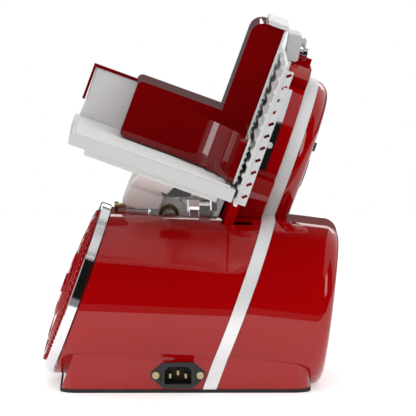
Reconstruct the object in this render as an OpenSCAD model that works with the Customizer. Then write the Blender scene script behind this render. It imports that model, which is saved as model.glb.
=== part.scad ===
// Gravity-feed meat slicer: a retro drum-bodied machine as separate pieces.
// Frame: +X towards the slice side, +Y away from the power inlet, +Z up, table at z = 0.
// Working frame (tilt): s = across the blade plane, y = world Y, h = up the blade plane.

/* [Machine] */
// lean of the blade plane from upright, degrees
tilt_deg = 20; // [10:1:35]
// where the blade plane meets the table, X
plane_x = -22; // [-40:1:0]
// drum section radius
drum_r = 73; // [60:1:90]
// half distance between the drum's two arc centres
drum_c = 25; // [10:1:40]
// wall thickness of the castings
wall = 3; // [2:0.5:5]
// plinth half width in Y
plinth_y = 80; // [60:1:95]
// rubber pad thickness under the plinth
pad_t = 3; // [2:0.5:6]

/* [Blade] */
// blade radius
blade_r = 95; // [80:1:110]
// blade axis, Y
blade_y = 75; // [60:1:90]
// blade axis, height up the blade plane
blade_h = 214; // [200:1:230]
// blade cover radius
cover_r = 72; // [60:1:80]
// guard ring outer radius
guard_r = 102; // [99:1:110]
// column disc radius behind the blade
column_r = 85; // [75:1:95]

/* [Dial] */
// dial ring radius
dial_r = 81; // [60:1:90]
// dial axis height up the plane
dial_h = 53.5; // [40:0.5:70]
// back face of the dial ring, s
dial_s = -96.4; // [-105:0.1:-90]
// width of the chrome ring
ring_w = 9.4; // [5:0.1:12]

/* [Gauge] */
// gauge plate near edge, Y
gauge_y = -165; // [-180:1:-150]
// gauge plate lower edge, h
gauge_h0 = 190; // [185:1:200]
// gauge plate upper edge, h
gauge_h1 = 323; // [300:1:330]
// pitch of the ribs on the plate
rib_pitch = 11.3; // [8:0.1:15]

/* [Carriage] */
// tray top surface, h
tray_h = 204; // [200:1:210]
// tray depth of the folded edge
tray_d = 11.5; // [8:0.5:16]
// tray outer end, s
tray_s0 = -156.5; // [-170:0.5:-140]
// tray blade end, s
tray_s1 = -4.4; // [-6:0.1:-4]
// tray near edge, Y
tray_y0 = -168; // [-180:1:-150]
// tray far edge, Y
tray_y1 = -10; // [-20:1:0]
// far wall height above the tray
wall_h = 46; // [30:1:60]
// carriage rod centre, X
rod_x = -15; // [-25:1:-5]
// carriage rod centre, Z
rod_z = 151; // [145:1:155]
// carriage rod radius
rod_r = 6; // [4:0.5:8]

/* [Hidden] */
$fn = 72;
dial_y = 0;
strap_s0 = 34;
strap_s1 = 45.5;
col_s1 = 58;
end_deg = 7;
axis_deg = 2.1;
motor_y = 40;
motor_h = 80;
belt_s = 46.5;
pul_big = 30;
pul_small = 9.5;

/* [Show] */
// which sub-part to draw

// ---------- frames and small forms ----------
module tilt() {
  translate([plane_x, 0, 0]) rotate([0, tilt_deg, 0]) children();
}
module ext_s(s0, s1) {
  translate([s0, 0, 0]) rotate([90, 0, 90]) linear_extrude(s1 - s0) children();
}
module ext_y(y0, y1) {
  translate([0, y1, 0]) rotate([90, 0, 0]) linear_extrude(y1 - y0) children();
}
module cyl_s(s0, s1, y, h, r) {
  translate([s0, y, h]) rotate([0, 90, 0]) cylinder(h = s1 - s0, r = r);
}
module cyl_y(y0, y1, x, z, r) {
  translate([x, y1, z]) rotate([90, 0, 0]) cylinder(h = y1 - y0, r = r);
}
module rrect(x0, y0, x1, y1, r) {
  translate([x0 + r, y0]) square([x1 - x0 - 2 * r, y1 - y0]);
  translate([x0, y0 + r]) square([x1 - x0, y1 - y0 - 2 * r]);
  for (x = [x0 + r, x1 - r], y = [y0 + r, y1 - r]) translate([x, y]) circle(r);
}
module slab(s0, s1) {
  tilt() translate([s0, -320, -150]) cube([s1 - s0, 640, 620]);
}
module above(z0) {
  translate([-300, -320, z0]) cube([700, 640, 500]);
}

// ---------- the body form, shrunk inwards by off ----------
module stadium(off) {
  translate([-drum_c, 0]) circle(drum_r - off);
  translate([drum_c, 0]) circle(drum_r - off);
  translate([-drum_c, off - drum_r]) square([2 * drum_c, 2 * (drum_r - off)]);
}
module foot_fillet() {
  for (m = [0, 1]) mirror([m, 0]) difference() {
    polygon([[-80, -51.6], [-82.2, -45.4], [-68, -38], [-68, -51.6]]);
    translate([-90, -51.6]) circle(10);
  }
}
module front_drum(off) {
  translate([-72, 0, 82]) rotate([0, axis_deg, 0]) translate([-60, 0, 0])
    rotate([90, 0, 90]) linear_extrude(250) stadium(off);
}
module front_fillet() {
  intersection() {
    translate([-72, 0, 82]) rotate([0, axis_deg, 0]) translate([-20, 0, 0])
      rotate([90, 0, 90]) linear_extrude(200) foot_fillet();
    plinth_block(-5, 60);
  }
}
module end_profile(off) {
  r = drum_r - off;
  e = 51.5 - off;
  c = 13 - off;
  translate([0, -75]) square([r - c, e + 75]);
  translate([0, -75]) square([r, e + 75 - c]);
  translate([r - c, e - c]) circle(c);
}
module rear_drum(off) {
  r = drum_r - off;
  e = 51.5 - off;
  c = 13 - off;
  translate([80, 0, 76.4]) rotate([0, end_deg, 0]) {
    for (y = [-drum_c, drum_c]) translate([0, y, 0]) rotate([0, 90, 0]) rotate_extrude()
      end_profile(off);
    ext_y(-drum_c, drum_c) {
      translate([-75, -r]) square([e + 75 - c, 2 * r]);
      translate([-75, c - r]) square([e + 75, 2 * (r - c)]);
      for (z = [c - r, r - c]) translate([e - c, z]) circle(c);
    }
  }
}
module plinth_block(off, z1) {
  intersection() {
    linear_extrude(z1) rrect(-112 + off, off - plinth_y, 111.5 - off, plinth_y - off, 14);
    ext_y(-120, 120) polygon([[off - 112 - 1.1, 0], [130, 0], [130, z1], [off - 112 - 1.1 + z1 * 0.364, z1]]);
  }
}
module column_form(off, s0) {
  r = column_r - off;
  e = col_s1 - off;
  c = 14 - off;
  translate([0, blade_y, blade_h]) rotate([0, 90, 0]) rotate_extrude() {
    translate([0, s0]) square([r - c, e - s0]);
    translate([0, s0]) square([r, e - s0 - c]);
    translate([r - c, e - c]) circle(c);
  }
  translate([s0, 14 + off, 60]) cube([e - s0, 76 - 2 * off, blade_h - 60]);
}
module well(s0, s1, r) {
  tilt() cyl_s(s0, s1, blade_y, blade_h, r);
}
module channel(g) {
  translate([rod_x - 19 - g, -20.5 - g, rod_z - 17 - g]) cube([38 + 2 * g, 240, 80]);
}

// ---------- base ----------
module base_pad() {
  color([0.06, 0.06, 0.06]) difference() {
    linear_extrude(pad_t) rrect(-113, -81, 112.5, 81, 15);
    for (x = [-92, 92], y = [-62, 62]) translate([x, y, -1]) cylinder(h = pad_t + 2, r = 5);
  }
}
module bottom_plate() {
  color([0.55, 0.56, 0.58]) difference() {
    translate([0, 0, pad_t]) linear_extrude(2) rrect(-107.2, -76.6, 107.9, 76.6, 15);
    for (x = [-92, 92], y = [-62, 62]) translate([x, y, 0]) cylinder(h = 9, r = 2.2);
    for (x = [-60 : 12 : 60]) translate([x, 0, 0]) linear_extrude(9) rrect(-2, -30, 2, 30, 1.9);
  }
}
module base_screws() {
  color([0.6, 0.6, 0.6]) for (x = [-92, 92], y = [-62, 62]) translate([x, y, 0]) {
    difference() {
      translate([0, 0, 2]) cylinder(h = 1, r = 4.2);
      translate([0, 0, 1.5]) cube([5, 1, 1.4], center = true);
    }
    translate([0, 0, 3]) cylinder(h = 12, r = 2);
  }
}
module post_bosses() {
  for (x = [-92, 92], y = [-1, 1]) translate([x, y * 62, 5.2]) difference() {
    union() {
      cylinder(h = 22, r = 5);
      translate([-2, y > 0 ? 0 : -17.5, 0]) cube([4, 17.5, 22]);
    }
    translate([0, 0, -1]) cylinder(h = 12, r = 2.05);
  }
}
module front_shell() {
  color([0.62, 0.02, 0.03]) difference() {
    union() {
      difference() {
        intersection() {
          union() {
            front_drum(0);
            plinth_block(0, 60);
            front_fillet();
          }
          slab(dial_s + 0.4, strap_s0 - 0.2);
          above(pad_t);
        }
        intersection() {
          union() {
            front_drum(wall);
            translate([0, 0, -1]) plinth_block(wall, 61);
          }
          slab(dial_s + 4.4, 80);
        }
      }
      intersection() {
        union() {
          well(-11, strap_s0 - 0.2, guard_r + 4);
          channel(wall);
        }
        front_drum(0);
        slab(dial_s + 0.4, strap_s0 - 0.2);
      }
      intersection() {
        post_bosses();
        slab(dial_s + 2, 30);
        front_drum(1.5);
      }
      intersection() {
        post_bosses();
        slab(dial_s + 2, 30);
        plinth_block(1.5, 45);
      }
    }
    well(-8, 80, guard_r + 1);
    channel(0);
    // seat of the slide rod
    cyl_y(-22.9, -18, rod_x, rod_z, rod_r);
    // hole for the dial shaft
    tilt() cyl_s(dial_s - 5, dial_s + 9, dial_y, dial_h, 4.55);
    // slot for the gauge carrier
    tilt() translate([0.2, -46.4, 120]) cube([25.6, 18.8, 80]);
    // opening for the power inlet
    translate([-20.6, -90, 6.8]) cube([27.4, 20, 18.8]);
    for (x = [-26.9, 13.1]) translate([x, -70, 16.2]) rotate([90, 0, 0]) cylinder(h = 20, r = 1.5);
  }
}
module rear_shell() {
  color([0.62, 0.02, 0.03]) difference() {
    union() {
      difference() {
        intersection() {
          union() {
            rear_drum(0);
            plinth_block(0, 60);
          }
          slab(strap_s1 + 0.2, 400);
          above(pad_t);
        }
        intersection() {
          union() {
            rear_drum(wall);
            translate([0, 0, -1]) plinth_block(wall, 61);
          }
          slab(0, 400);
        }
      }
      intersection() {
        post_bosses();
        slab(50, 400);
        rear_drum(1.5);
      }
      intersection() {
        post_bosses();
        slab(50, 400);
        plinth_block(1.5, 45);
      }
    }
    // seat that the column drops into
    tilt() intersection() {
      column_form(-0.3, strap_s1 - 2);
      translate([0, -100, 118]) cube([100, 400, 300]);
    }
    // vents in the far end
    for (z = [40 : 8 : 96]) translate([100, 0, z]) rotate([0, end_deg, 0]) rotate([90, 0, 90])
      linear_extrude(60) rrect(-24, -1.6, 24, 1.6, 1.5);
    // switch opening
    translate([66, 70, 66]) cube([44, 40, 22]);
  }
}
module band_form(off) {
  front_drum(off);
  plinth_block(off, 60);
  tilt() column_form(off, strap_s0 - 5);
}
module trim_strap() {
  color([0.8, 0.81, 0.83]) difference() {
    intersection() {
      band_form(-0.7);
      slab(strap_s0, strap_s1);
      above(pad_t);
    }
    intersection() {
      union() {
        front_drum(2.4);
        translate([0, 0, -1]) plinth_block(2.4, 61);
        tilt() column_form(2.4, strap_s0 - 5);
      }
      slab(0, 400);
    }
  }
}
module column() {
  color([0.62, 0.02, 0.03]) tilt() difference() {
    intersection() {
      column_form(0, strap_s1 - 5);
      translate([strap_s1 + 0.2, -100, 120]) cube([60, 400, 300]);
    }
    difference() {
      intersection() {
        column_form(wall, strap_s1 - 6);
        translate([strap_s1 - 5, -100, 100]) cube([60, 400, 400]);
      }
      cyl_s(52, 60, blade_y, blade_h, 20);
    }
    cyl_s(40, 70, blade_y, blade_h, 14.05);
    cyl_s(52, 70, 18, 246, 2.05);
  }
}
module column_screw() {
  color([0.15, 0.15, 0.16]) tilt() difference() {
    union() {
      cyl_s(col_s1, col_s1 + 2.2, 18, 246, 4.2);
      cyl_s(col_s1 - 3.4, col_s1, 18, 246, 1.95);
    }
    cyl_s(col_s1 + 0.8, col_s1 + 5, 18, 246, 2);
  }
}
module blade_housing() {
  color([0.62, 0.02, 0.03]) tilt() difference() {
    union() {
      difference() {
        cyl_s(12, strap_s0 - 0.2, blade_y, blade_h, blade_r - 3);
        cyl_s(15, 60, blade_y, blade_h, blade_r - 6);
      }
      cyl_s(15, strap_s0 - 0.2, blade_y, blade_h, 26);
      for (a = [30 : 60 : 330]) translate([0, blade_y, blade_h]) rotate([a, 0, 0])
        translate([14, -1.5, 20]) cube([strap_s0 - 15.4, 3, blade_r - 25]);
    }
    cyl_s(0, 60, blade_y, blade_h, 14.05);
    // tapped holes of the deflector, square to the rim
    for (a = [150, 166]) translate([18.2, blade_y, blade_h]) rotate([a, 0, 0])
      translate([0, 80, 0]) rotate([-90, 0, 0]) cylinder(h = 30, r = 1.6);
  }
}
module sector2d(r0, r1, a0, a1) {
  n = 12;
  intersection() {
    difference() {
      circle(r1);
      circle(r0);
    }
    polygon(concat([[0, 0]], [for (i = [0 : n]) let (a = a0 + (a1 - a0) * i / n)
      [2 * r1 * cos(a), 2 * r1 * sin(a)]]));
  }
}
module ring_guard() {
  color([0.66, 0.02, 0.03]) tilt() difference() {
    translate([0, blade_y, blade_h]) {
      ext_s(-0.5, strap_s0 - 0.2) sector2d(blade_r + 2, guard_r, -176, 122);
      ext_s(7, strap_s0 - 0.2) sector2d(blade_r - 2.9, blade_r + 2.1, -176, 122);
    }
    translate([-5, 36, 309.6]) cube([60, 54, 40]);
  }
}
module slice_deflector() {
  color([0.85, 0.86, 0.88]) tilt() difference() {
    translate([0, blade_y, blade_h]) ext_s(14, 22.5) sector2d(blade_r - 2.8, blade_r - 1.2, 128, 180);
    for (a = [150, 166]) translate([18.2, blade_y, blade_h]) rotate([a, 0, 0])
      translate([0, 80, 0]) rotate([-90, 0, 0]) cylinder(h = 30, r = 1.7);
  }
}
module deflector_screws() {
  color([0.75, 0.76, 0.78]) tilt() for (a = [150, 166]) translate([18.2, blade_y, blade_h])
    rotate([a, 0, 0]) translate([0, 0, 0]) rotate([-90, 0, 0]) difference() {
      union() {
        translate([0, 0, blade_r - 1]) cylinder(h = 1.4, r = 2.9);
        translate([0, 0, 89.5]) cylinder(h = blade_r - 90, r = 1.5);
      }
      translate([0, 0, blade_r + 0.5]) cube([5, 0.8, 1], center = true);
    }
}

// ---------- power inlet ----------
module inlet_at() {
  translate([-6.9, -plinth_y, 16.2]) rotate([90, 0, 0]) children();
}
module power_inlet() {
  color([0.16, 0.16, 0.17]) inlet_at() difference() {
    union() {
      // flange with an ear for each screw, and a raised rim round the socket
      linear_extrude(2.4) {
        polygon([[-14, -11], [14, -11], [22, -4.2], [22, 4.2], [14, 11], [-14, 11], [-22, 4.2], [-22, -4.2]]);
        for (x = [-20, 20]) translate([x, 0]) circle(4.6);
      }
      linear_extrude(3.8) rrect(-14.8, -11.6, 14.8, 11.6, 2.5);
      translate([0, 0, -21]) linear_extrude(21.5) rrect(-13.5, -9.2, 13.5, 9.2, 2);
    }
    translate([0, 0, -16]) linear_extrude(20) difference() {
      square([24.2, 16], center = true);
      for (m = [0, 1]) mirror([m, 0]) polygon([[12.2, 4.2], [12.2, 8.1], [8.4, 8.1]]);
    }
    for (x = [-7, 0, 7]) translate([x, x == 0 ? 1.6 : -1.6, -30]) linear_extrude(20)
      square([2.04, 4.04], center = true);
    for (x = [-20, 20]) translate([x, 0, -4]) cylinder(h = 8, r = 1.7);
  }
}
module inlet_pins() {
  color([0.8, 0.78, 0.7]) inlet_at() for (x = [-7, 0, 7])
    translate([x, x == 0 ? 1.6 : -1.6, -27]) linear_extrude(x == 0 ? 25 : 23)
      square([2, 4], center = true);
}
module inlet_screws() {
  color([0.8, 0.7, 0.45]) inlet_at() for (x = [-20, 20]) translate([x, 0, 0]) difference() {
    union() {
      translate([0, 0, 2.4]) cylinder(h = 1.4, r = 3.2);
      translate([0, 0, -7]) cylinder(h = 9.4, r = 1.4);
    }
    translate([0, 0, 3.6]) rotate([0, 0, x]) cube([7, 0.9, 1.2], center = true);
  }
}

// ---------- motor and drive ----------
module motor_can() {
  color([0.35, 0.36, 0.38]) tilt() difference() {
    cyl_s(-42, 12, motor_y, motor_h, 30);
    cyl_s(-43, 13, motor_y, motor_h, 26);
    for (a = [0 : 45 : 315]) translate([-32, motor_y, motor_h]) rotate([a, 0, 0])
      translate([0, 20, -3]) cube([34, 20, 6]);
  }
}
module motor_bells() {
  color([0.7, 0.71, 0.73]) tilt() difference() {
    union() {
      cyl_s(-50, -42.1, motor_y, motor_h, 30);
      cyl_s(12.1, 20, motor_y, motor_h, 30);
      cyl_s(-54, -50, motor_y, motor_h, 11);
      cyl_s(20, 24, motor_y, motor_h, 11);
    }
    cyl_s(-60, 40, motor_y, motor_h, 4.05);
    for (a = [30 : 60 : 330]) translate([-60, motor_y, motor_h]) rotate([a, 0, 0])
      translate([0, 0, 20]) rotate([0, 90, 0]) cylinder(h = 100, r = 3.4);
  }
}
module motor_bracket() {
  color([0.5, 0.51, 0.53]) tilt() difference() {
    union() {
      translate([-38, motor_y - 24, 38]) cube([4, 48, 46]);
      translate([4, motor_y - 24, 38]) cube([4, 48, 46]);
      translate([-38, motor_y - 24, 34]) cube([46, 48, 4.2]);
      intersection() {
        for (s = [-38, 4]) translate([s, motor_y - 24, -30]) cube([4, 48, 66]);
        rotate([0, -tilt_deg, 0]) translate([-200, -200, 5.2]) cube([400, 400, 100]);
      }
    }
    cyl_s(-60, 30, motor_y, motor_h, 30.1);
  }
}
module motor_shaft() {
  color([0.8, 0.8, 0.82]) tilt() cyl_s(-53, 51, motor_y, motor_h, 4);
}
module motor_pulley() {
  color([0.25, 0.25, 0.26]) tilt() difference() {
    union() {
      cyl_s(belt_s - 3.2, belt_s + 3.2, motor_y, motor_h, pul_small);
      cyl_s(belt_s - 5, belt_s - 3.2, motor_y, motor_h, pul_small + 2.5);
      cyl_s(belt_s + 3.2, belt_s + 5, motor_y, motor_h, pul_small + 2.5);
    }
    cyl_s(0, 80, motor_y, motor_h, 4);
  }
}
module loop2d(a, ra, b, rb) {
  d = norm(b - a);
  f = atan2(b[1] - a[1], b[0] - a[0]);
  g = acos((ra - rb) / d);
  translate(a) circle(ra);
  translate(b) circle(rb);
  polygon([a + ra * [cos(f + g), sin(f + g)], b + rb * [cos(f + g), sin(f + g)],
    b + rb * [cos(f - g), sin(f - g)], a + ra * [cos(f - g), sin(f - g)]]);
}
module drive_belt() {
  color([0.08, 0.08, 0.08]) tilt() ext_s(belt_s - 2.6, belt_s + 2.6) difference() {
    loop2d([motor_y, motor_h], pul_small + 2, [blade_y, blade_h], pul_big + 2);
    loop2d([motor_y, motor_h], pul_small + 0.08, [blade_y, blade_h], pul_big + 0.08);
  }
}
module blade_pulley() {
  color([0.72, 0.73, 0.75]) tilt() difference() {
    union() {
      cyl_s(belt_s - 3.2, belt_s + 3.2, blade_y, blade_h, pul_big);
      cyl_s(belt_s - 4.6, belt_s - 3.2, blade_y, blade_h, pul_big + 3);
      cyl_s(belt_s + 3.2, belt_s + 4.6, blade_y, blade_h, pul_big + 3);
    }
    cyl_s(0, 80, blade_y, blade_h, 10.1);
    for (a = [0 : 60 : 300]) translate([30, blade_y, blade_h]) rotate([a, 0, 0])
      translate([0, 0, 27]) rotate([0, 90, 0]) cylinder(h = 40, r = 9);
  }
}
module bearing_sleeve() {
  color([0.7, 0.6, 0.35]) tilt() for (r = [[15, 21], [26, 33.8]]) difference() {
    cyl_s(r[0], r[1], blade_y, blade_h, 14);
    cyl_s(r[0] - 1, r[1] + 1, blade_y, blade_h, 10.05);
  }
}
module blade_shaft() {
  color([0.8, 0.8, 0.82]) tilt() difference() {
    union() {
      cyl_s(5.2, 51.5, blade_y, blade_h, 10);
      cyl_s(4.4, 11, blade_y, blade_h, 22);
    }
    cyl_s(0, 60, blade_y, blade_h, 4.3);
    for (a = [45 : 90 : 315]) translate([0, blade_y, blade_h]) rotate([a, 0, 0])
      translate([0, 0, 16]) rotate([0, 90, 0]) cylinder(h = 20, r = 1.6);
  }
}
module blade() {
  color([0.82, 0.83, 0.85]) tilt() difference() {
    translate([0, blade_y, blade_h]) rotate([0, 90, 0]) rotate_extrude($fn = 120)
      polygon([[0, 2.4], [cover_r + 0.8, 2.4], [cover_r + 3, -2.3], [blade_r, -2.5],
        [blade_r, -2.2], [cover_r + 9, 3.4], [cover_r + 4, 4.2], [0, 4.2]]);
    cyl_s(0, 10, blade_y, blade_h, 8);
    for (a = [45 : 90 : 315]) translate([0, blade_y, blade_h]) rotate([a, 0, 0])
      translate([0, 0, 16]) rotate([0, 90, 0]) cylinder(h = 20, r = 1.8);
  }
}
module blade_screws() {
  color([0.7, 0.7, 0.72]) tilt() for (a = [45 : 90 : 315]) translate([0, blade_y, blade_h])
    rotate([a, 0, 0]) translate([0, 0, 16]) rotate([0, 90, 0]) {
      translate([0, 0, 1.3]) cylinder(h = 1.1, r = 3);
      translate([0, 0, 2.4]) cylinder(h = 7, r = 1.5);
    }
}
module blade_cover() {
  color([0.85, 0.85, 0.86]) tilt() difference() {
    translate([0, blade_y, blade_h]) rotate([0, 90, 0]) rotate_extrude($fn = 120)
      polygon([[0, -2.2], [cover_r - 8, -2.2], [cover_r, -1.6], [cover_r, 0.6],
        [cover_r - 10, 0.9], [0, 0.9]]);
    cyl_s(-1, 4, blade_y, blade_h, 3);
  }
}
module cover_tie() {
  color([0.75, 0.75, 0.77]) tilt() {
    cyl_s(-1, 0.9, blade_y, blade_h, 2.95);
    cyl_s(0.9, 61, blade_y, blade_h, 4.2);
  }
}
module cover_knob() {
  color([0.08, 0.08, 0.09]) tilt() difference() {
    union() {
      cyl_s(col_s1 + 0.6, col_s1 + 3, blade_y, blade_h, 12);
      cyl_s(col_s1 + 1.6, col_s1 + 4.6, blade_y, blade_h, 14);
    }
    cyl_s(50, 61.2, blade_y, blade_h, 4.25);
    for (a = [0 : 30 : 330]) translate([50, blade_y, blade_h]) rotate([a, 0, 0])
      translate([0, 0, 15]) rotate([0, 90, 0]) cylinder(h = 40, r = 2.2);
  }
}

// ---------- electrics ----------
module control_board() {
  color([0.05, 0.35, 0.15]) {
    translate([28, -66, 12]) cube([50, 40, 1.6]);
    translate([34, -60, 13.6]) cube([14, 12, 9]);
    translate([54, -58, 13.6]) cube([16, 10, 12]);
    for (x = [32, 74], y = [-62, -30]) translate([x, y, 5.2]) cylinder(h = 7, r = 2.5);
  }
}
module switch_plate() {
  color([0.1, 0.1, 0.11]) difference() {
    union() {
      translate([66.2, 91, 66.2]) cube([43.6, 8, 21.6]);
      translate([66.2, 78, 66.2]) cube([43.6, 3, 21.6]);
      for (x = [66.2, 107.3]) translate([x, 78, 66.2]) cube([2.5, 14, 21.6]);
    }
    for (x = [77, 99]) {
      cyl_y(88, 110, x, 77, 8.3);
      cyl_y(70, 90, x, 77, 3.2);
    }
  }
}
module button_form(x) {
  cyl_y(93.5, 102, x, 77, 8);
  cyl_y(91.2, 93.5, x, 77, 8);
  cyl_y(77, 91.2, x, 77, 3);
}
module start_button() {
  color([0.1, 0.5, 0.15]) button_form(77);
}
module stop_button() {
  color([0.7, 0.05, 0.05]) button_form(99);
}
module button_springs() {
  color([0.7, 0.7, 0.72]) for (x = [77, 99]) for (i = [0 : 3])
    translate([x, 87.6 - 1.5 * i, 77]) rotate([90, 0, 0]) rotate_extrude($fn = 32)
      translate([4.2, 0]) circle(0.5, $fn = 16);
}

// ---------- sharpener ----------
module sharp_at() {
  tilt() translate([14, 62, 306.5]) rotate([0, -9, 0]) children();
}
module sharpener_body() {
  color([0.78, 0.79, 0.8]) sharp_at() difference() {
    ext_y(-24, 24) rrect(-5.8, 4.4, 6, 29, 3);
    translate([-10, -18, -1]) cube([10.5, 36, 15.5]);
    for (y = [-10, 10]) translate([-20, y, 21]) rotate([0, 90, 0]) cylinder(h = 40, r = 3.05);
  }
}
module sharpener_stones() {
  color([0.55, 0.33, 0.27]) sharp_at() for (y = [-10, 10]) translate([-4.6, y, 9])
    rotate([0, 90, 0]) {
      cylinder(h = 3.2, r = 4.6);
      translate([0, 0, 3.2]) cylinder(h = 1.8, r = 2);
    }
}
module stone_button(y) {
  sharp_at() translate([-3, y, 21]) rotate([0, 90, 0]) {
    cylinder(h = 14, r = 3);
    translate([0, 0, 12]) cylinder(h = 2, r = 3.8);
  }
}
module grind_button() {
  color([0.1, 0.1, 0.1]) stone_button(-10);
}
module hone_button() {
  color([0.1, 0.1, 0.1]) stone_button(10);
}
module sharpener_knob() {
  color([0.8, 0.8, 0.82]) sharp_at() {
    translate([6.1, 0, 11]) rotate([0, 90, 0]) cylinder(h = 4, r = 4);
    translate([10.1, 0, 11]) rotate([0, 90, 0]) cylinder(h = 4, r = 5.5);
  }
}

// ---------- dial ----------
module dial_ring() {
  color([0.88, 0.88, 0.9]) tilt() difference() {
    translate([dial_s - ring_w, dial_y, dial_h]) rotate([0, 90, 0]) rotate_extrude($fn = 120)
      polygon([[dial_r - 5, 0], [dial_r - 0.8, 0], [dial_r, 0.8], [dial_r, ring_w - 0.6],
        [dial_r - 0.6, ring_w], [dial_r - 5, ring_w]]);
  }
}
module dome2d() {
  intersection() {
    translate([0, 440.5]) circle(r = 447, $fn = 400);
    translate([0, -10]) square([dial_r - 5.1, 10 + ring_w - 0.4]);
  }
}
module dial_disc() {
  color([0.62, 0.02, 0.03]) tilt() difference() {
    union() {
      translate([dial_s - ring_w, dial_y, dial_h]) rotate([0, 90, 0]) rotate_extrude($fn = 120)
        dome2d();
      for (r = [30, 52, 66]) translate([dial_s - ring_w - (r == 30 ? 5.4 : r == 52 ? 3.6 : 2),
        dial_y, dial_h]) rotate([0, 90, 0]) rotate_extrude($fn = 96) translate([r, 0]) circle(1.6);
      translate([dial_s - ring_w, dial_y, dial_h]) {
        for (i = [0 : 15]) rotate([i * 22.5, 0, 0]) translate([-4.1, 0, 41]) rotate([0, 90, 0])
          translate([0, 0, -0.5]) cylinder(h = 2.4, r = 4.4);
        for (i = [0 : 7]) rotate([i * 45 + 11, 0, 0]) translate([-6, 0, 15]) rotate([0, 90, 0])
          translate([0, 0, -1]) cylinder(h = 3, r = 5);
        translate([-8.8, 0, 0]) rotate([0, 90, 0]) cylinder(h = 4, r = 9);
      }
    }
    cyl_s(dial_s - ring_w - 0.6, dial_s + 1, dial_y, dial_h, 4.5);
  }
}
module dial_screw() {
  color([0.7, 0.7, 0.72]) tilt() {
    cyl_s(dial_s - ring_w - 0.5, -8, dial_y, dial_h, 4.45);
    cyl_s(dial_s + 5.2, dial_s + 9, dial_y, dial_h, 8);
  }
}

// ---------- thickness gauge ----------
module gauge_plate() {
  n = floor((gauge_h1 - gauge_h0 - 8) / rib_pitch);
  color([0.83, 0.84, 0.86]) tilt() difference() {
    union() {
      ext_s(-1.5, 1.5) rrect(gauge_y, gauge_h0, 40, gauge_h1, 2.5);
      for (i = [0 : n]) translate([0, 0, gauge_h0 + 5 + i * rib_pitch])
        ext_y(gauge_y + 3, 36) polygon([[-1.4, -3.1], [-3.6, -0.7], [-3.6, 0.7], [-1.4, 3.1]]);
      for (y = [gauge_y + 0.5, -62]) translate([1.4, y, gauge_h0 + 3])
        cube([7, 3, gauge_h1 - gauge_h0 - 8]);
    }
    cyl_s(-20, 40, blade_y, blade_h, blade_r + 1);
    // slanting windows down the front flange
    for (i = [0 : n - 1]) translate([5, gauge_y + 2, gauge_h0 + 11 + i * rib_pitch])
      rotate([0, -40, 0]) cube([5.2, 6, 2.8], center = true);
    translate([-20, 20, 280]) cube([40, 60, 80]);
    translate([-20, -28, 180]) cube([40, 90, 32]);
  }
}
module gauge_carrier() {
  color([0.75, 0.76, 0.78]) tilt() difference() {
    union() {
      translate([1.6, -45, 88]) cube([9, 16, 132]);
      translate([-16, -55, 88]) cube([26.6, 36, 26]);
      translate([-16, -51, 46]) cube([8, 20, 44]);
      translate([-16, -51, 46]) cube([8, 59, 15]);
    }
    for (y = [-46, -28]) cyl_s(-60, 60, y, 98, 4.05);
    cyl_s(-60, 60, dial_y, dial_h, 4.5);
  }
}
module gauge_rods() {
  color([0.8, 0.8, 0.82]) tilt() {
    for (y = [-46, -28]) cyl_s(-40, 32, y, 98, 4);
    translate([-44, -86, 92]) cube([4, 65, 12]);
    translate([32, -92, 92]) cube([1.6, 71, 12]);
  }
}

// ---------- carriage ----------
module slide_rod() {
  color([0.82, 0.82, 0.84]) cyl_y(-22.8, 198, rod_x, rod_z, rod_r);
}
module rail_bracket() {
  color([0.74, 0.75, 0.77]) difference() {
    union() {
      translate([rod_x - 18.8, 196.6, rod_z - 16.8]) cube([37.6, 8, 28]);
      translate([rod_x - 18.8, 60, rod_z - 16.8]) cube([37.6, 144.6, 5]);
      for (x = [-18.8, 16.8]) translate([rod_x + x, 60, rod_z - 16.8]) cube([2, 144.6, 12]);
      translate([rod_x + 18, 196.6, rod_z - 16.8]) cube([19.6, 8, 24]);
    }
    cyl_y(190, 199, rod_x, rod_z, rod_r + 0.02);
  }
}
module guide_bar() {
  color([0.8, 0.81, 0.83]) {
    translate([12.6, -24, 158.3]) cube([10, 228, 4]);
    translate([12.6, -24, 152]) cube([10, 12, 6.4]);
  }
}
module carriage_arm() {
  color([0.86, 0.86, 0.87]) difference() {
    union() {
      // leaning column under the tray
      intersection() {
        tilt() ext_s(-130, -2) polygon([[-150, 192], [-24, 192], [36, 158], [36, 126], [4, 126], [-20, 160], [-150, 186]]);
        tilt() translate([-88.5, -160, 140]) cube([33, 240, 60]);
        translate([-200, -200, 157]) cube([400, 400, 100]);
      }
      // foot over the rod
      translate([-54, 6, 157]) cube([50, 32, 8.5]);
      cyl_y(4, 40, rod_x, rod_z, 16.4);
      translate([-8, 14, 163.2]) cube([37, 16, 4]);
      translate([24, 14, 153]) cube([5, 16, 12]);
      // ribs up to the tray
      tilt() translate([-140, -150, tray_h - tray_d - 6.4]) cube([124, 8, 6]);
      tilt() translate([-140, -38, tray_h - tray_d - 6.4]) cube([124, 8, 6]);
    }
    cyl_y(-10, 80, rod_x, rod_z, 9.05);
    translate([rod_x - 30, -30, rod_z - 40]) cube([60, 100, 30]);
    // seat of the tray block
    translate([-21.6, -62.2, 174.4]) cube([30, 16.4, 30]);
    tilt() translate([-200, -200, tray_h - tray_d - 0.3]) cube([400, 400, 60]);
  }
}
module arm_bushes() {
  color([0.72, 0.58, 0.3]) for (y = [4.2, 28]) difference() {
    cyl_y(y, y + 11.8, rod_x, rod_z, 9);
    cyl_y(y - 1, y + 13, rod_x, rod_z, rod_r + 0.05);
  }
}
module tray_block() {
  color([0.24, 0.24, 0.25]) translate([0, -46, 0]) rotate([90, 0, 0]) linear_extrude(16)
    rrect(-21.4, 174.6, 5.5, 184, 4);
}
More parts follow.
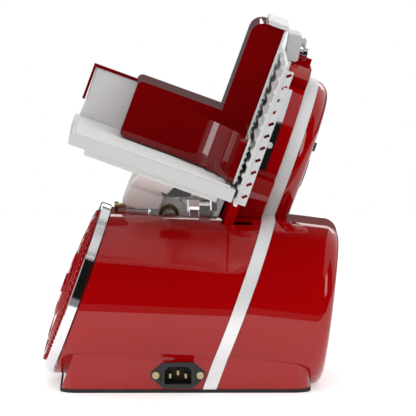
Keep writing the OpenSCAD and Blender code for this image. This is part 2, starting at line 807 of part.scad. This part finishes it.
module arm_clamp() {
  color([0.6, 0.6, 0.55]) {
    translate([-61, 10, 158.5]) rotate([0, 90, 0]) {
      cylinder(h = 7, r = 2);
    }
    translate([-64.5, 10, 158.5]) rotate([0, 90, 0]) cylinder(h = 3.5, r = 3.6, $fn = 36);
  }
}
module tray() {
  color([0.84, 0.85, 0.86]) tilt() {
    difference() {
      translate([tray_s0, tray_y0, tray_h - tray_d])
        cube([tray_s1 - tray_s0, tray_y1 - tray_y0, tray_d]);
      translate([tray_s0 + 3, tray_y0 + 3, tray_h - tray_d - 1])
        cube([tray_s1 - tray_s0 - 6, tray_y1 - tray_y0 - 6, tray_d - 1.5]);
    }
    for (i = [0 : 11]) translate([tray_s0 + 3, tray_y0 + 10 + i * 11.5, tray_h - 0.1]) rotate([90, 0, 90])
      linear_extrude(tray_s1 - tray_s0 - 8) polygon([[-2.4, 0], [-1.2, 1.3], [1.2, 1.3], [2.4, 0]]);
  }
}
module far_wall() {
  color([0.78, 0.79, 0.8]) tilt() {
    ext_y(tray_y1 - 3, tray_y1) polygon([[tray_s0 + 3.5, tray_h], [tray_s0 + 4.5, tray_h + 13],
      [tray_s0 + 3.5, tray_h + wall_h], [tray_s1 - 3, tray_h + wall_h], [tray_s1 - 3, tray_h]]);
    // foot flange and rod brackets
    for (s = [-150, -22]) difference() {
      translate([s, tray_y1, tray_h - 9]) cube([8, 20, 34]);
      cyl_s(-160, -10, 2, 222, 4.01);
    }
  }
}
module wall_trim() {
  color([0.62, 0.02, 0.03]) tilt() ext_y(tray_y1 - 4.4, tray_y1 + 1.4) {
    polygon([[tray_s0 + 3.2, tray_h + wall_h + 0.1], [tray_s0 + 3.2, tray_h + wall_h + 2.6],
      [tray_s1 - 2.6, tray_h + wall_h + 2.6], [tray_s1 - 2.6, tray_h + wall_h + 0.1]]);
    translate([tray_s0 + 0.9, tray_h + 15]) square([2.4, wall_h - 12.4]);
  }
}
module pusher_rod() {
  color([0.82, 0.82, 0.84]) tilt() cyl_s(-148, -16, 2, 222, 4);
}

// ---------- pusher ----------
module upright2d(off) {
  intersection() {
    rrect(-36.5 + off, 200, 40, 345 - off, 12 - off);
    translate([-60, 206.6]) square([51.4, 160]);
  }
}
module pusher_shell() {
  color([0.62, 0.02, 0.03]) tilt() {
    difference() {
      union() {
        ext_y(-92, -20) upright2d(0);
        ext_y(-90, -20) rrect(-115, 206.6, -30, 259, 5);
        // foot of the face, swept towards the user's side
        ext_s(-15, -8.6) rrect(-156, 206.6, -40, 248, 6);
        translate([0, 0, 206.6]) linear_extrude(41.4) difference() {
          translate([-70, -147]) square([58, 70]);
          translate([-70, -148]) circle(58);
        }
      }
      ext_y(-89, -23) upright2d(3);
      ext_y(-87, -23) rrect(-112, 190, -20, 256, 3);
      translate([0, 0, 200]) linear_extrude(45.4) difference() {
        translate([-67, -144]) square([49, 67]);
        translate([-70, -148]) circle(61);
      }
    }
    // arm over the far wall to the slide rod
    difference() {
      union() {
        translate([-34, -23, 262]) cube([14, 37, 8]);
        translate([-34, -5, 228]) cube([11, 14, 42]);
        cyl_s(-46, -24, 2, 222, 10);
      }
      cyl_s(-60, -20, 2, 222, 7.05);
    }
  }
}
module pusher_bush() {
  color([0.72, 0.58, 0.3]) tilt() difference() {
    cyl_s(-46, -24, 2, 222, 7);
    cyl_s(-60, -20, 2, 222, 4.05);
  }
}
module grip_plate() {
  color([0.85, 0.86, 0.88]) tilt() {
    ext_s(-8.4, -6.4) {
      rrect(-94, 206.8, -18, 345, 4);
      rrect(-158, 206.8, -30, 249, 6);
    }
    for (i = [0 : 13]) translate([0, 0, 211.5 + i * 5.5])
      ext_y(i < 7 ? -156 : -92.5, -20) polygon([[-6.5, -2.2], [-4.9, 0], [-6.5, 2.2]]);
  }
}
module pusher_cap() {
  color([0.85, 0.86, 0.88]) tilt() {
    ext_y(-94, -18) rrect(-24, 345.2, -5, 349.2, 1.5);
  }
}

base_pad();
bottom_plate();
base_screws();
front_shell();
rear_shell();
trim_strap();
column();
column_screw();
blade_housing();
ring_guard();
slice_deflector();
deflector_screws();
power_inlet();
inlet_pins();
inlet_screws();
motor_can();
motor_bells();
motor_bracket();
control_board();
drive_belt();
bearing_sleeve();
slide_rod();
rail_bracket();
guide_bar();
gauge_rods();
switch_plate();
start_button();
stop_button();
button_springs();
sharpener_body();
sharpener_knob();
sharpener_stones();
grind_button();
hone_button();
motor_shaft();
motor_pulley();
blade();
blade_screws();
blade_shaft();
blade_pulley();
blade_cover();
cover_tie();
cover_knob();
dial_ring();
dial_disc();
dial_screw();
gauge_plate();
gauge_carrier();
tray();
far_wall();
wall_trim();
carriage_arm();
arm_bushes();
tray_block();
arm_clamp();
pusher_rod();
pusher_shell();
pusher_bush();
grip_plate();
pusher_cap();
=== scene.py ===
import math

import bmesh
import bpy
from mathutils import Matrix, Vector


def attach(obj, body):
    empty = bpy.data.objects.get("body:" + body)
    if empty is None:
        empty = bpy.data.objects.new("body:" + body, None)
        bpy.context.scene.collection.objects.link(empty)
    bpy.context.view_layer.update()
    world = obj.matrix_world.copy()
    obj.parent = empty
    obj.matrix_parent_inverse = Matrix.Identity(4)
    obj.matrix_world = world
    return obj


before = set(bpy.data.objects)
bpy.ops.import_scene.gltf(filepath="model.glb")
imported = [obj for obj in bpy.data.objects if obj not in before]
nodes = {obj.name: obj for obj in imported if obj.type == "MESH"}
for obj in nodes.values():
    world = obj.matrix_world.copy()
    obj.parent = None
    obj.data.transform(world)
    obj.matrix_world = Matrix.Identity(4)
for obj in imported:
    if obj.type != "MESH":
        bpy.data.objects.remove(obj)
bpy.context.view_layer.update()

# ---------------------------------------------------------------- camera
# A long lens looks along +Y at the side with the power inlet, from a little above the
# table and so far off that upright edges stay almost parallel.
eye_rise = math.radians(7.0)
eye_turn = math.radians(0.4)
eye_distance = 4.5
aim = Vector((0.020, -0.080, 0.167))
to_eye = Vector((-math.sin(eye_turn) * math.cos(eye_rise), -math.cos(eye_rise), math.sin(eye_rise)))
lens = bpy.data.cameras.new("view")
lens.lens = 436.0
lens.sensor_width = 36.0
lens.clip_end = 40.0
eye = bpy.data.objects.new("view", lens)
bpy.context.scene.collection.objects.link(eye)
eye.location = aim + to_eye * eye_distance
eye.rotation_mode = "QUATERNION"
eye.rotation_quaternion = (-to_eye).to_track_quat("-Z", "Y")
bpy.context.scene.camera = eye

# ---------------------------------------------------------------- white board
# The machine stands on a matt white board that ends a hand's width in front of it, so
# the enamel mirrors white only low down and the dark studio above that.


def socket_of(node, key):
    """The input that a keyword names: i3 is the fourth one, Base_Color is Base Color."""
    return node.inputs[int(key[1:])] if key[1:].isdigit() else node.inputs[key.replace("_", " ")]


class Val:
    """One socket's value; the usual operators add Math nodes."""

    def __init__(self, tree, out):
        self.tree = tree
        self.out = out

    def math(self, work, a, b):
        return self.tree.out(self.tree.node("ShaderNodeMath", {"operation": work}, i0=a, i1=b))

    def __add__(self, other):
        return self.math("ADD", self, other)

    def __radd__(self, other):
        return self.math("ADD", other, self)

    def __sub__(self, other):
        return self.math("SUBTRACT", self, other)

    def __rsub__(self, other):
        return self.math("SUBTRACT", other, self)

    def __mul__(self, other):
        return self.math("MULTIPLY", self, other)

    def __rmul__(self, other):
        return self.math("MULTIPLY", other, self)

    def __pow__(self, other):
        return self.math("POWER", self, other)

    def __gt__(self, other):
        return self.math("GREATER_THAN", self, other)

    def ramp(self, low, high):
        """Rises smoothly from 0 at low to 1 at high."""
        return self.tree.out(self.tree.node("ShaderNodeMapRange", {"interpolation_type": "SMOOTHSTEP"},
                                            i0=self, i1=low, i2=high))


class Tree:
    """The nodes of one material or of the room, with one method that adds any node."""

    def __init__(self, name, kept_in=bpy.data.materials):
        self.owner = kept_in.new(name)
        self.owner.use_nodes = True
        self.nt = self.owner.node_tree
        self.nt.nodes.clear()

    def plug(self, sock, value):
        """Links a value, or sets a number, a vector or a colour on the socket itself."""
        if isinstance(value, Val):
            self.nt.links.new(value.out, sock)
        elif sock.type == "RGBA":
            sock.default_value = (*value, 1)
        else:
            sock.default_value = value

    def node(self, kind, settings=None, **sockets):
        n = self.nt.nodes.new(kind)
        for key, value in (settings or {}).items():
            setattr(n, key, value)
        for key, value in sockets.items():
            self.plug(socket_of(n, key), value)
        return n

    def out(self, n, which=0):
        return Val(self, n.outputs[which])

    def place(self):
        return self.out(self.node("ShaderNodeTexCoord"), "Object")

    def noise(self, scale, detail=3.0, rough=0.5, stretch=None):
        """Soft random spots, scale to the metre; stretch makes them finer along some axes."""
        where = self.place()
        if stretch:
            where = self.out(self.node("ShaderNodeMapping", None, Vector=where, Scale=stretch))
        return self.out(self.node("ShaderNodeTexNoise", None, Vector=where, Scale=scale,
                                  Detail=detail, Roughness=rough), "Fac")

    def blend(self, fac, a, b):
        return self.out(self.node("ShaderNodeMix", {"data_type": "RGBA"}, i0=fac, i6=a, i7=b), 2)

    def edge(self, low, high, reach=0.0011):
        """Marks edges, where a normal rounded within reach turns away from the true one."""
        true = self.out(self.node("ShaderNodeNewGeometry"), "Normal")
        rounded = self.out(self.node("ShaderNodeBevel", {"samples": 4}, Radius=reach))
        along = self.node("ShaderNodeVectorMath", {"operation": "DOT_PRODUCT"}, i0=true, i1=rounded)
        return (1 - self.out(along, "Value")).ramp(low, high)

    def finish(self, base, rough, metal=0.0, bump=None, depth=0.0, soft=0.0, **fixed):
        """Closes the tree with one shader; soft is the radius that sharp edges are shaded with."""
        normal = self.out(self.node("ShaderNodeBevel", {"samples": 4}, Radius=soft)) if soft else None
        if bump:
            under = {"Normal": normal} if normal else {}
            normal = self.out(self.node("ShaderNodeBump", None, Height=bump, Distance=depth,
                                        Strength=1.0, **under))
        if normal:
            fixed["Normal"] = normal
        skin = self.node("ShaderNodeBsdfPrincipled", None, Base_Color=base, Roughness=rough,
                         Metallic=metal, **fixed)
        self.node("ShaderNodeOutputMaterial", None, Surface=self.out(skin))
        return self.owner


board_side = 4
board_front = -0.33
board_back = 1.2
board_corners = ((-board_side, board_front), (board_side, board_front),
                 (board_side, board_back), (-board_side, board_back))
board_mesh = bpy.data.meshes.new("floor")
sheet = bmesh.new()
sheet.faces.new([sheet.verts.new((x, y, 0.0)) for x, y in board_corners])
sheet.to_mesh(board_mesh)
sheet.free()
t = Tree("paper")
board_mesh.materials.append(t.finish((0.9, 0.9, 0.9), 0.5 + t.noise(3.0) * 0.05,
                                     Emission_Color=(1, 1, 1), Emission_Strength=0.42))
board = bpy.data.objects.new("floor", board_mesh)
bpy.context.scene.collection.objects.link(board)

# ---------------------------------------------------------------- lamps
# Two broad lamps only fill. A window behind, a tall strip on the left and a soft box on
# the right also show as reflections in enamel and chrome.


def area(name, where, size, power, target, tall=None, mirrored=True):
    """A rectangular lamp turned to its target; mirrored says whether glossy parts show it."""
    data = bpy.data.lights.new(name, "AREA")
    data.shape = "RECTANGLE"
    data.size = size
    data.size_y = tall or size
    data.energy = power
    lamp = bpy.data.objects.new(name, data)
    bpy.context.scene.collection.objects.link(lamp)
    lamp.location = where
    lamp.visible_glossy = mirrored
    lamp.rotation_mode = "QUATERNION"
    lamp.rotation_quaternion = (Vector(where) - Vector(target)).to_track_quat("Z", "Y")


drum_middle = (0, 0, 0.15)
drum_top = (0, 0, 0.1)
area("overhead", (0.1, -0.35, 1.7), size=1.2, power=8, target=drum_top, mirrored=False)
area("front_fill", (-0.6, -2.2, 0.8), size=1.4, power=9, target=drum_middle, mirrored=False)
area("back_window", (0.1, 1.5, 0.66), size=1.4, power=3, target=drum_top, tall=0.4)
area("left_strip", (-1.5, -0.8, 0.5), size=0.34, power=9, target=drum_middle, tall=1.6)
area("right_box", (1.2, -1.1, 0.9), size=0.5, power=6, target=drum_middle, tall=0.9)

# ---------------------------------------------------------------- room
# The lens sees a white room, and it fills evenly. Glossy parts mirror it dark in front,
# with a pale wall on the left, a soft box high on the right, a glow behind and a dim table.
dark_level = 0.008
box_level = 0.72
wall_level = 0.6
glow_level = 0.1
table_level = 0.24
fill_level = 0.62
t = Tree("room", bpy.data.worlds)
bpy.context.scene.world = t.owner
way = t.node("ShaderNodeSeparateXYZ", None, Vector=t.out(t.node("ShaderNodeTexCoord"), "Generated"))
dx, dy, dz = (t.out(way, axis) for axis in "XYZ")
soft_box = dx.ramp(0.2, 0.24) * (dz + dy.ramp(0.0, 0.2) * 0.7).ramp(0.7, 0.74)
pale_wall = (0 - dx).ramp(0.72, 0.8) * (0 - dy).ramp(-0.9, 0.3)
glow = dy.ramp(0.25, 0.8)
table = (0 - dz).ramp(0.125, 0.14)
mirrored = (dark_level + soft_box * box_level + pale_wall * wall_level + glow * glow_level
            + table * table_level)
path = t.node("ShaderNodeLightPath")
seen = t.out(path, "Is Camera Ray")
glossy = t.out(path, "Is Glossy Ray")
level = seen + (1 - seen) * (glossy * mirrored + (1 - glossy) * fill_level)
sky = t.node("ShaderNodeBackground", None, Color=(1, 1, 1), Strength=level)
t.node("ShaderNodeOutputWorld", None, Surface=t.out(sky))
bpy.context.scene.view_settings.view_transform = "Standard"

# ---------------------------------------------------------------- rubber pad and floor plate
# A die-cut black rubber pad lies under the plinth. Screws hold it and the ground steel
# plate that closes the castings from below.


def give(mat, *names):
    """Puts one material on the named pieces of the part."""
    for name in names:
        slots = nodes[name].data.materials
        slots.clear()
        slots.append(mat)


t = Tree("rubber")
clean_rubber = (0.012, 0.012, 0.012)
dusty_rubber = (0.05, 0.048, 0.045)
speck = t.noise(900.0, 4.0)
dust = t.noise(40.0, 5.0).ramp(0.55, 0.8)
rubber = t.finish(t.blend(dust * 0.5, clean_rubber, dusty_rubber), 0.72 + speck * 0.15,
                  bump=speck, depth=0.0001)
give(rubber, "base_pad")

t = Tree("ground_steel")
bright_steel = (0.62, 0.62, 0.63)
stained_steel = (0.5, 0.49, 0.48)
grain = t.noise(320.0, 3.0, stretch=(1.0, 14.0, 14.0))
stain = t.noise(18.0, 4.0).ramp(0.5, 0.8)
steel = t.finish(t.blend(stain, bright_steel, stained_steel), 0.2 + grain * 0.16, 1.0,
                 bump=grain, depth=0.00003)
give(steel, "bottom_plate", "base_screws")

# ---------------------------------------------------------------- body castings
# Both halves of the body, the column and the blade housing are aluminium castings under
# deep red stove enamel: thick, glossy and faintly uneven, paler where edges have worn.


def red_enamel(name, shade, soft):
    """Deep red under a clear glaze; shade below 1 darkens the red as painted shade, soft rounds the shaded
    edges.
    """
    t = Tree(name)
    flow = t.noise(14.0, 2.0)
    peel = t.noise(420.0, 2.0, 0.4)
    worn = t.edge(0.02, 0.35)
    scuff = t.noise(160.0, 5.0).ramp(0.62, 0.78)
    # shade scales the red down; below 1 it paints shade onto the part
    tone = t.blend(flow, (0.27 * shade, 0.0005, 0.0011), (0.315 * shade, 0.0007, 0.0015))
    return t.finish(t.blend(worn * 0.3, tone, (0.5, 0.015, 0.015)),
                    0.36 + scuff * 0.1 + flow * 0.05, bump=peel * 0.12 + flow * 0.8,
                    depth=0.00004, soft=soft, Coat_Weight=1.0, Coat_Roughness=0.015,
                    Coat_IOR=1.5, Specular_IOR_Level=0.0)


enamel = red_enamel("red_enamel", shade=1.0, soft=0.0014)
give(enamel, "front_shell", "rear_shell", "column", "blade_housing")

# ---------------------------------------------------------------- trim band
# A brushed aluminium band covers the joint of the two body castings, from one side of the
# plinth up over the column and down the other side.
t = Tree("satin_band")
light_satin = (0.86, 0.86, 0.86)
dull_satin = (0.77, 0.77, 0.78)
brush = t.noise(260.0, 4.0, stretch=(12.0, 1.0, 1.0))
cloud = t.noise(9.0, 3.0)
satin = t.finish(t.blend(cloud, light_satin, dull_satin), 0.38 + brush * 0.12 + cloud * 0.05, 0.45,
                 bump=brush, depth=0.00003, soft=0.0008)
give(satin, "trim_strap")

# ---------------------------------------------------------------- power inlet
# A moulded black socket is held in the plinth wall by two yellow-zinc screws; three brass
# blades stand inside it.
t = Tree("black_moulding")
new_black = (0.016, 0.016, 0.017)
rubbed_black = (0.06, 0.06, 0.06)
grit = t.noise(1400.0, 2.0)
rub = t.edge(0.05, 0.5)
black = t.finish(t.blend(rub * 0.6, new_black, rubbed_black), 0.42 + grit * 0.12,
                 bump=grit, depth=0.00004)
give(black, "power_inlet")

t = Tree("yellow_zinc")
yellow = (0.7, 0.56, 0.26)
faded_yellow = (0.62, 0.58, 0.42)
drift = t.noise(120.0, 3.0)
zinc = t.finish(t.blend(drift, yellow, faded_yellow), 0.28 + drift * 0.15, 1.0,
                bump=drift, depth=0.00002)
give(zinc, "inlet_screws")

t = Tree("brass")
light_brass = (0.66, 0.48, 0.2)
deep_brass = (0.55, 0.4, 0.17)
turning = t.noise(500.0, 3.0, stretch=(1.0, 8.0, 1.0))
brass = t.finish(t.blend(turning, light_brass, deep_brass), 0.25 + turning * 0.15, 1.0,
                 bump=turning, depth=0.00002)
give(brass, "inlet_pins")

# ---------------------------------------------------------------- control board
# A small printed board stands on four posts over the floor plate, to one side of the
# power inlet. It is laminate under a green mask, patchy where copper lies below.
t = Tree("board_mask")
green_mask = (0.01, 0.12, 0.04)
green_over_copper = (0.015, 0.2, 0.06)
patch = t.noise(200.0, 2.0)
give(t.finish(t.blend(patch > 0.52, green_mask, green_over_copper), 0.3 + patch * 0.2,
              bump=patch, depth=0.00003), "control_board")

# ---------------------------------------------------------------- motor and belt drive
# A blackened steel can sits between two cast bells on a steel bracket. Its shaft drives
# the blade's shaft, which brass sleeves carry, with a rubber belt over two pulleys. The
# column's one screw is blackened like the can.
t = Tree("blackened_steel")
black_oxide = (0.06, 0.06, 0.065)
bare_oxide = (0.14, 0.14, 0.145)
scale = t.noise(80.0, 5.0)
dark = t.finish(t.blend(scale, black_oxide, bare_oxide), 0.35 + scale * 0.2, 0.8,
                bump=scale, depth=0.00005)
give(dark, "motor_can", "motor_pulley", "column_screw")
give(satin, "motor_bells", "blade_pulley")
give(steel, "motor_bracket", "motor_shaft", "blade_shaft")
give(rubber, "drive_belt")
give(brass, "bearing_sleeve")

# ---------------------------------------------------------------- switches
# Two glossy moulded caps, green to start and red to stop, stand on steel springs in a
# black plate on the side away from the power inlet.
give(black, "switch_plate")
give(steel, "button_springs")
for label, deep, light in (("start_button", (0.01, 0.2, 0.04), (0.02, 0.28, 0.06)),
                           ("stop_button", (0.35, 0.01, 0.01), (0.45, 0.02, 0.015))):
    t = Tree(label + "_cap")
    haze = t.noise(300.0, 3.0)
    give(t.finish(t.blend(haze, deep, light), 0.18 + haze * 0.1, bump=haze, depth=0.00002,
                  Coat_Weight=0.5), label)

# ---------------------------------------------------------------- thickness dial
# A chromed ring frames an enamelled disc, and both turn a steel lead screw. The disc's
# face carries two rows of half-round beads, cast in one with it.
t = Tree("chrome")
bright_chrome = (0.84, 0.84, 0.85)
misted_chrome = (0.74, 0.75, 0.77)
mist = t.noise(60.0, 4.0)
hair = t.noise(700.0, 2.0, stretch=(1.0, 1.0, 9.0))
chrome = t.finish(t.blend(mist, bright_chrome, misted_chrome),
                  0.04 + mist * 0.05 + hair.ramp(0.6, 0.8) * 0.05, 1.0, bump=hair, depth=0.000006)
give(chrome, "dial_ring")
give(enamel, "dial_disc")
give(steel, "dial_screw")


class Grower:
    """A Geometry Nodes tree that is grown once and baked to a plain mesh."""

    def __init__(self, name):
        self.name = name
        self.tree = bpy.data.node_groups.new(name, "GeometryNodeTree")
        self.tree.interface.new_socket("Geometry", in_out="OUTPUT", socket_type="NodeSocketGeometry")
        self.entry = self.tree.nodes.new("NodeGroupInput")
        self.values = {}

    def size(self, label, value):
        """Adds a named input to the tree and notes the value it will be given."""
        kind = "NodeSocketInt" if isinstance(value, int) else "NodeSocketFloat"
        item = self.tree.interface.new_socket(label, in_out="INPUT", socket_type=kind)
        self.values[item.identifier] = value
        return self.entry.outputs[label]

    def node(self, kind, **sockets):
        n = self.tree.nodes.new(kind)
        for key, value in sockets.items():
            sock = socket_of(n, key)
            if isinstance(value, bpy.types.NodeSocket):
                self.tree.links.new(value, sock)
            else:
                sock.default_value = value
        return n.outputs[0]

    def bake(self, shape, mat):
        """Ends the tree, grows it on an empty mesh and returns the result as a plain piece."""
        real = self.node("GeometryNodeRealizeInstances", Geometry=shape)
        done = self.node("GeometryNodeSetMaterial", Geometry=real, Material=mat)
        self.tree.links.new(done, self.tree.nodes.new("NodeGroupOutput").inputs[0])
        seed = bpy.data.objects.new(self.name + "_seed", bpy.data.meshes.new("seed"))
        bpy.context.scene.collection.objects.link(seed)
        grow = seed.modifiers.new("grow", "NODES")
        grow.node_group = self.tree
        for key, value in self.values.items():
            grow[key] = value
        grown = seed.evaluated_get(bpy.context.evaluated_depsgraph_get())
        mesh = bpy.data.meshes.new_from_object(grown)
        seed.modifiers.clear()
        bpy.data.objects.remove(seed)
        piece = bpy.data.objects.new(self.name, mesh)
        bpy.context.scene.collection.objects.link(piece)
        return piece


# The blade, the dial and the tray all lean by the same angle. A leaning piece is grown
# upright, with -X up the blade's plane and Z along its axis, and then set in.
lean_degrees = 20.0
plane_foot = -0.022
set_in = {"Translation": (plane_foot, 0.0, 0.0), "Rotation": (0.0, math.radians(90.0 + lean_degrees), 0.0)}
dial_up = 0.0535
dial_face = -0.1058
bead_radius = 0.0012


def bead_row(name, count, row_radius, rise):
    g = Grower(name)
    ring = g.node("GeometryNodeMeshCircle", Vertices=g.size("Beads", count),
                  Radius=g.size("Row radius", row_radius))
    bead = g.node("GeometryNodeMeshUVSphere", Segments=14, Rings=8,
                  Radius=g.size("Bead radius", bead_radius))
    row = g.node("GeometryNodeInstanceOnPoints", Points=ring, Instance=bead)
    on_face = g.node("GeometryNodeTransform", Geometry=row, Translation=(-dial_up, 0.0, dial_face - rise))
    return g.bake(g.node("GeometryNodeTransform", Geometry=on_face, **set_in), enamel)


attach(bead_row("outer_beads", 76, 0.0712, 0.0013), "dial_set")
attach(bead_row("inner_beads", 60, 0.0590, 0.0028), "dial_set")

# ---------------------------------------------------------------- thickness gauge
# The gauge plate is a ribbed aluminium casting in natural anodising, with a lengthwise
# grain. Its enamelled carrier runs on two steel rods.
t = Tree("anodised")
light_anodising = (0.84, 0.84, 0.83)
wiped_anodising = (0.75, 0.76, 0.76)
grain = t.noise(300.0, 3.0, stretch=(1.0, 10.0, 10.0))
wipe = t.noise(11.0, 3.0)
anodised = t.finish(t.blend(wipe, light_anodising, wiped_anodising), 0.34 + grain * 0.1 + wipe * 0.06,
                    0.4, bump=grain, depth=0.00003, soft=0.0008)
give(anodised, "gauge_plate")
give(enamel, "gauge_carrier")
give(steel, "gauge_rods")

# ---------------------------------------------------------------- ring guard and deflector
# An enamelled ring shields the blade's edge. A bent strip of chromed steel throws the
# slices clear of the blade, and two screws hold it to the blade housing.
give(enamel, "ring_guard")
give(chrome, "slice_deflector")
give(satin, "deflector_screws")

# ---------------------------------------------------------------- blade and its cover
# The dished blade is ground on a wheel, so its scratches run round the axis. The cover
# is a spun aluminium disc, pulled in by a rod through the shaft and a black fluted nut.
lean = math.radians(lean_degrees)
blade_up = 0.214
blade_along = 0.075
hub = Vector((plane_foot + blade_up * math.sin(lean), blade_along, blade_up * math.cos(lean)))


def turned_metal(name, light, smeared, low, spread):
    """Bare metal with fine rings about the blade's axis; low and spread set its roughness."""
    t = Tree(name)
    at_hub = t.node("ShaderNodeMapping", {"vector_type": "TEXTURE"}, Vector=t.place(),
                    Location=hub, Rotation=(0.0, lean, 0.0))
    parts = t.node("ShaderNodeSeparateXYZ", None, Vector=t.out(at_hub))
    across = t.out(parts, "Y")
    up = t.out(parts, "Z")
    radius = (across * across + up * up) ** 0.5
    rings = t.out(t.node("ShaderNodeTexNoise", {"noise_dimensions": "1D"}, W=radius, Scale=2600.0,
                         Detail=3.0), "Fac")
    smear = t.noise(30.0, 4.0)
    return t.finish(t.blend(smear, light, smeared), low + rings * spread + smear * 0.05, 1.0,
                    bump=rings, depth=0.00002)


give(turned_metal("blade_steel", (0.78, 0.79, 0.8), (0.68, 0.69, 0.71), 0.1, 0.12), "blade")
give(turned_metal("cover_disc", (0.76, 0.76, 0.77), (0.66, 0.66, 0.67), 0.22, 0.16), "blade_cover")
give(steel, "blade_screws", "cover_tie")
give(black, "cover_knob")

# ---------------------------------------------------------------- carriage rail
# A ground steel rod carries the carriage along the machine and a guide bar stops it from
# tipping; a cast bracket holds the rod's far end.
give(steel, "slide_rod", "guide_bar")
give(satin, "rail_bracket")

# ---------------------------------------------------------------- carriage arm
# The arm is one polished casting that runs on the rod in two brass bushes. A near-black block lies between
# it and the tray;
# its dark grey is painted shade, standing in for the shadowed underside of a bracket there. A yellow-zinc
# screw clamps the arm's foot.
t = Tree("polished_casting")
light_casting = (0.88, 0.87, 0.85)
dull_casting = (0.8, 0.79, 0.77)
ripple = t.noise(70.0, 3.0)
give(t.finish(t.blend(ripple, light_casting, dull_casting), 0.28 + ripple * 0.12, 0.2,
              bump=ripple, depth=0.0001, soft=0.003), "carriage_arm")

t = Tree("shadow_grey_moulding")
# near-black grey: painted shade of a bracket's shadowed underside, varied at random by noise
shadow_grey = (0.05, 0.05, 0.052)
paler_shadow_grey = (0.075, 0.075, 0.078)
pebble = t.noise(1100.0, 2.0)
give(t.finish(t.blend(t.noise(60.0), shadow_grey, paler_shadow_grey), 0.5 + pebble * 0.1,
              bump=pebble, depth=0.00004), "tray_block")
give(brass, "arm_bushes")
give(zinc, "arm_clamp")

# ---------------------------------------------------------------- tray
# The tray and its far wall are folded from anodised aluminium sheet. An enamelled strip caps the wall,
# in a darker copy of the red enamel that paints the shade it lies in, and a steel rod beside it carries
# the pusher.
# a half-bright copy of the red enamel: painted shade for the wall trim and the pusher shell
shaded_enamel = red_enamel("shaded_red_enamel", shade=0.5, soft=0.0028)
give(anodised, "tray", "far_wall")
give(shaded_enamel, "wall_trim")
give(steel, "pusher_rod")

# ---------------------------------------------------------------- pusher
# A red enamelled hand guard slides on a brass bush; its darker enamel copy paints the shade it stands in.
# Rows of small pyramids stand on the ribs of its grip plate, in two fields, so that it holds the last of
# the meat.
give(shaded_enamel, "pusher_shell")
give(anodised, "grip_plate", "pusher_cap")
give(brass, "pusher_bush")

tooth_rows = 7
row_pitch = 0.0055
tooth_pitch = 0.004
tooth_height = 0.0013
tooth_radius = 0.0011
tooth_tip = 0.0001
plate_face = -0.0056


def teeth(name, width, near_side, lowest):
    """One field of teeth, width wide from near_side; its first row stands at lowest up the plane."""
    g = Grower(name)
    height = (tooth_rows - 1) * row_pitch
    places = g.node("GeometryNodeMeshGrid", Size_X=g.size("Height", height),
                    Size_Y=g.size("Width", width), Vertices_X=g.size("Rows", tooth_rows),
                    Vertices_Y=g.size("Teeth per row", int(width / tooth_pitch)))
    tooth = g.node("GeometryNodeMeshCone", Vertices=4, Radius_Top=tooth_tip,
                   Radius_Bottom=g.size("Tooth radius", tooth_radius),
                   Depth=g.size("Tooth height", tooth_height))
    field = g.node("GeometryNodeInstanceOnPoints", Points=places, Instance=tooth)
    middle = (-(lowest + height / 2), near_side + width / 2, plate_face)
    on_face = g.node("GeometryNodeTransform", Geometry=field, Translation=middle)
    return g.bake(g.node("GeometryNodeTransform", Geometry=on_face, **set_in), satin)


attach(teeth("grip_teeth_low", 0.132, -0.154, 0.2115), "pusher")
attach(teeth("grip_teeth_high", 0.068, -0.090, 0.2500), "pusher")

# ---------------------------------------------------------------- sharpener
# A small satin grey block sits in the gap at the ring guard's top and holds two vitrified
# stone wheels over the blade's edge. Each has its own button; a chromed knob is behind.
t = Tree("satin_grey")
light_grey = (0.62, 0.63, 0.64)
deep_grey = (0.55, 0.56, 0.57)
spray = t.noise(800.0, 3.0)
give(t.finish(t.blend(t.noise(20.0), light_grey, deep_grey), 0.34 + spray * 0.1, 0.3,
              bump=spray, depth=0.00003, soft=0.0012), "sharpener_body", "grind_button", "hone_button")

t = Tree("stone")
dark_grit = (0.3, 0.16, 0.12)
pale_grit = (0.5, 0.33, 0.27)
pore = t.noise(1500.0, 4.0)
give(t.finish(t.blend(pore, dark_grit, pale_grit), 0.85 + pore * 0.1, bump=pore, depth=0.0002),
     "sharpener_stones")
give(chrome, "sharpener_knob")
